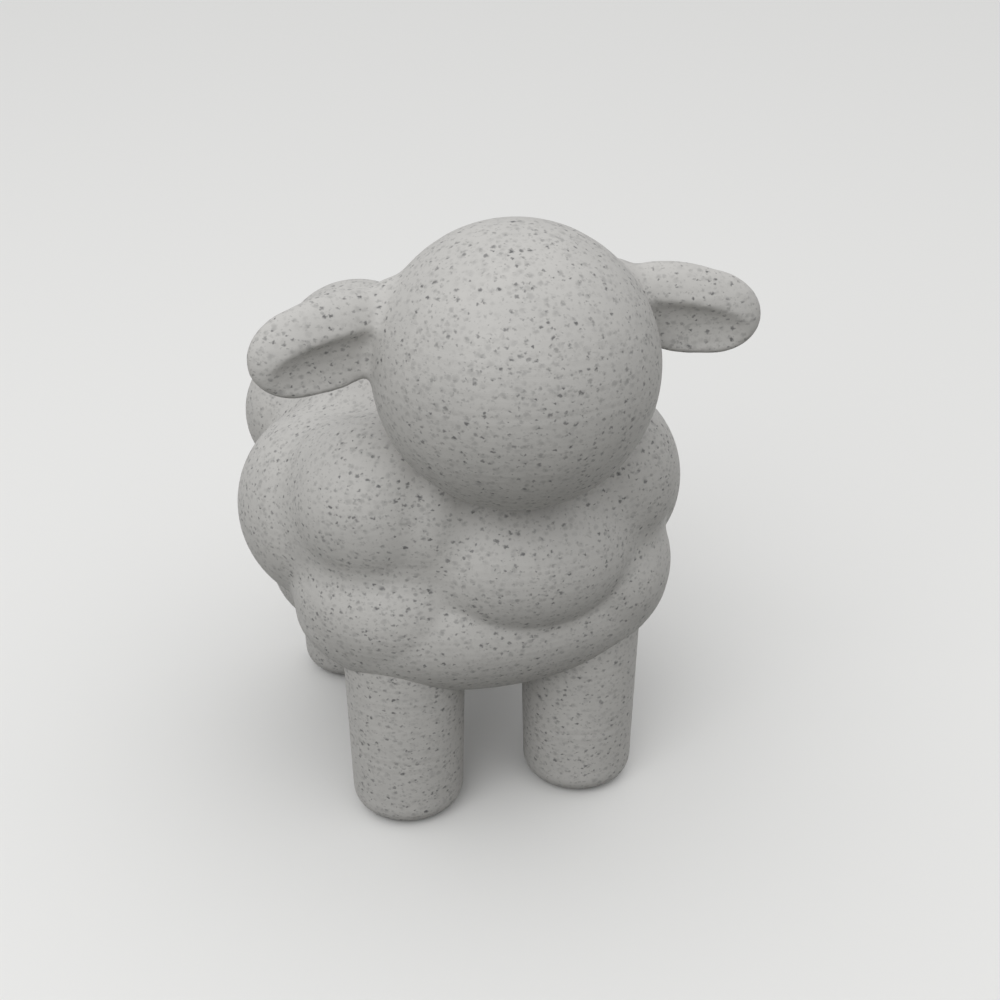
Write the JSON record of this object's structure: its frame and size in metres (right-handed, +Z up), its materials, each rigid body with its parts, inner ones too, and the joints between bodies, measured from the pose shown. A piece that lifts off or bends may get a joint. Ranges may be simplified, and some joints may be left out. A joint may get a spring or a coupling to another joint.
{
  "type": "sheep figurine",
  "caption": "Standing sheep figurine with a lumpy lobed fleece, a plain ball head, spoon-shaped ears and round legs, for display on a shelf, desk or garden table.",
  "frame": {"origin": "on the floor, under the middle of the sheep's bounding box", "axes": "+Z up, -Y the way the sheep looks, +X towards the sheep's own left"},
  "size_m": [0.079, 0.1026, 0.1058],
  "materials": {
    "speckled_print": "pale grey-white marble-effect print, matt, with fine dark specks and faint layer lines",
    "dowel_print": "plain off-white print, matt"
  },
  "bodies": {
    "root": {"fleece_body": "speckled_print", "head": "speckled_print", "ear_left": "speckled_print", "ear_right": "speckled_print", "tail": "speckled_print", "leg_front_left": "speckled_print", "leg_front_right": "speckled_print", "leg_rear_left": "speckled_print", "leg_rear_right": "speckled_print", "neck_dowel": "dowel_print", "tail_dowel": "dowel_print", "ear_dowel_left": "dowel_print", "ear_dowel_right": "dowel_print", "leg_dowel_front_left": "dowel_print", "leg_dowel_front_right": "dowel_print", "leg_dowel_rear_left": "dowel_print", "leg_dowel_rear_right": "dowel_print"}
  },
  "joints": []
}
